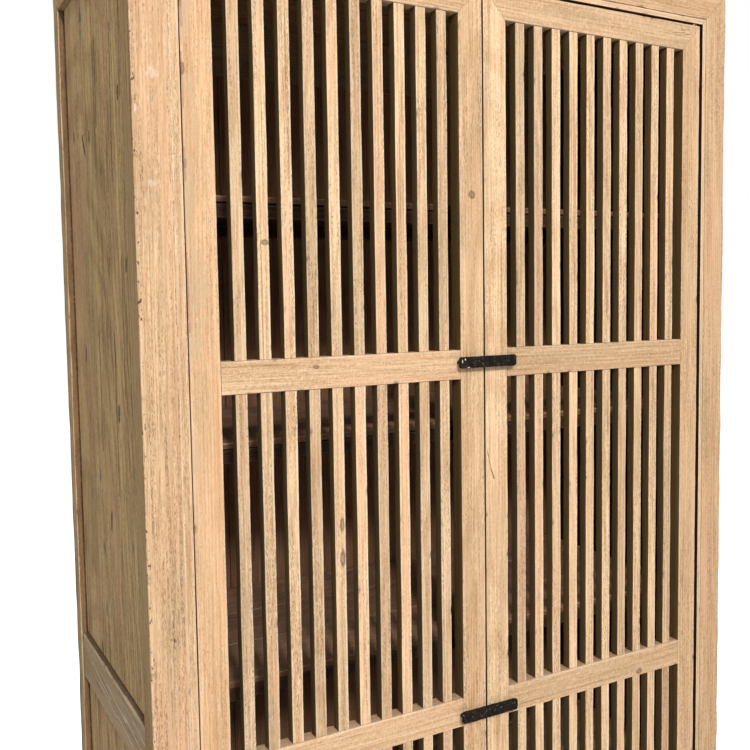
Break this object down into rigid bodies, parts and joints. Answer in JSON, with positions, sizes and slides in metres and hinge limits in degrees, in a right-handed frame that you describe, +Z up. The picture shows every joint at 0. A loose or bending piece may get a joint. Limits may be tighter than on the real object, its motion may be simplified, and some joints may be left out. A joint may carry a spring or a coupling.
{
  "type": "hanging wall cabinet",
  "caption": "Tall wall-hung wooden cabinet with two inset slatted doors on pivot pins, split iron bar pulls at the seam, panelled sides and fixed shelves inside.",
  "frame": {"origin": "centre of the wall-screw pattern, on the wall plane (the back faces of the two hanging rails)", "axes": "+X to the right as seen from the front, -Y out into the room, +Z up"},
  "size_m": [1, 0.488, 1.7],
  "materials": {
    "front_wood": "dry, brushed, pale reclaimed wood with fine grain, worm marks and worn edges",
    "slat_wood": "dry pale wood, fine straight grain",
    "bead_wood": "dry pale wood, slightly rosier",
    "side_wood": "dry pale wood with grey and blue stains",
    "inner_wood": "unfinished dull brown boards",
    "black_iron": "hammered, blackened, slightly glossy, chipped",
    "steel": "turned steel, dull",
    "brass": "turned brass, dull",
    "catch_body": "brown plastic housing"
  },
  "bodies": {
    "case": {"front_post_left": "front_wood", "front_post_right": "front_wood", "front_top_rail": "front_wood", "front_bottom_rail": "front_wood", "bead_left": "bead_wood", "bead_right": "bead_wood", "bead_top": "bead_wood", "bead_bottom": "bead_wood", "back_post_left": "side_wood", "back_post_right": "side_wood", "side_top_rail_left": "side_wood", "side_top_rail_right": "side_wood", "side_mid_rail_left": "side_wood", "side_mid_rail_right": "side_wood", "side_bottom_rail_left": "side_wood", "side_bottom_rail_right": "side_wood", "side_upper_panel_left": "side_wood", "side_upper_panel_right": "side_wood", "side_lower_panel_left": "side_wood", "side_lower_panel_right": "side_wood", "hanging_rail_top": "inner_wood", "hanging_rail_bottom": "inner_wood", "back_boards": "inner_wood", "top_panel": "side_wood", "floor_boards": "inner_wood", "shelf_1": "inner_wood", "shelf_2": "inner_wood", "shelf_3": "inner_wood", "shelf_4": "inner_wood", "shelf_bearers": "inner_wood", "shelf_cleats": "inner_wood", "pivot_pins": "steel", "magnet_catches": "catch_body", "catch_screws": "steel"},
    "left_door": {"left_hinge_stile": "front_wood", "left_meeting_stile": "front_wood", "left_top_rail": "front_wood", "left_upper_rail": "front_wood", "left_lower_rail": "front_wood", "left_bottom_rail": "front_wood", "left_slats_top": "slat_wood", "left_slats_middle": "slat_wood", "left_slats_bottom": "slat_wood", "left_pulls": "black_iron", "left_pull_screws": "steel", "left_pivot_bushes": "brass", "left_strike_plate": "steel"},
    "right_door": {"right_hinge_stile": "front_wood", "right_meeting_stile": "front_wood", "right_top_rail": "front_wood", "right_upper_rail": "front_wood", "right_lower_rail": "front_wood", "right_bottom_rail": "front_wood", "right_slats_top": "slat_wood", "right_slats_middle": "slat_wood", "right_slats_bottom": "slat_wood", "right_pulls": "black_iron", "right_pull_screws": "steel", "right_pivot_bushes": "brass", "right_strike_plate": "steel"}
  },
  "joints": [
    {"name": "left_door_hinge", "type": "hinge", "parent": "case", "child": "left_door", "pos_m": [-0.43, -0.467, 0], "axis": [0, 0, -1], "range_deg": [0, 110]},
    {"name": "right_door_hinge", "type": "hinge", "parent": "case", "child": "right_door", "pos_m": [0.43, -0.467, 0], "axis": [0, 0, 1], "range_deg": [0, 110]}
  ]
}
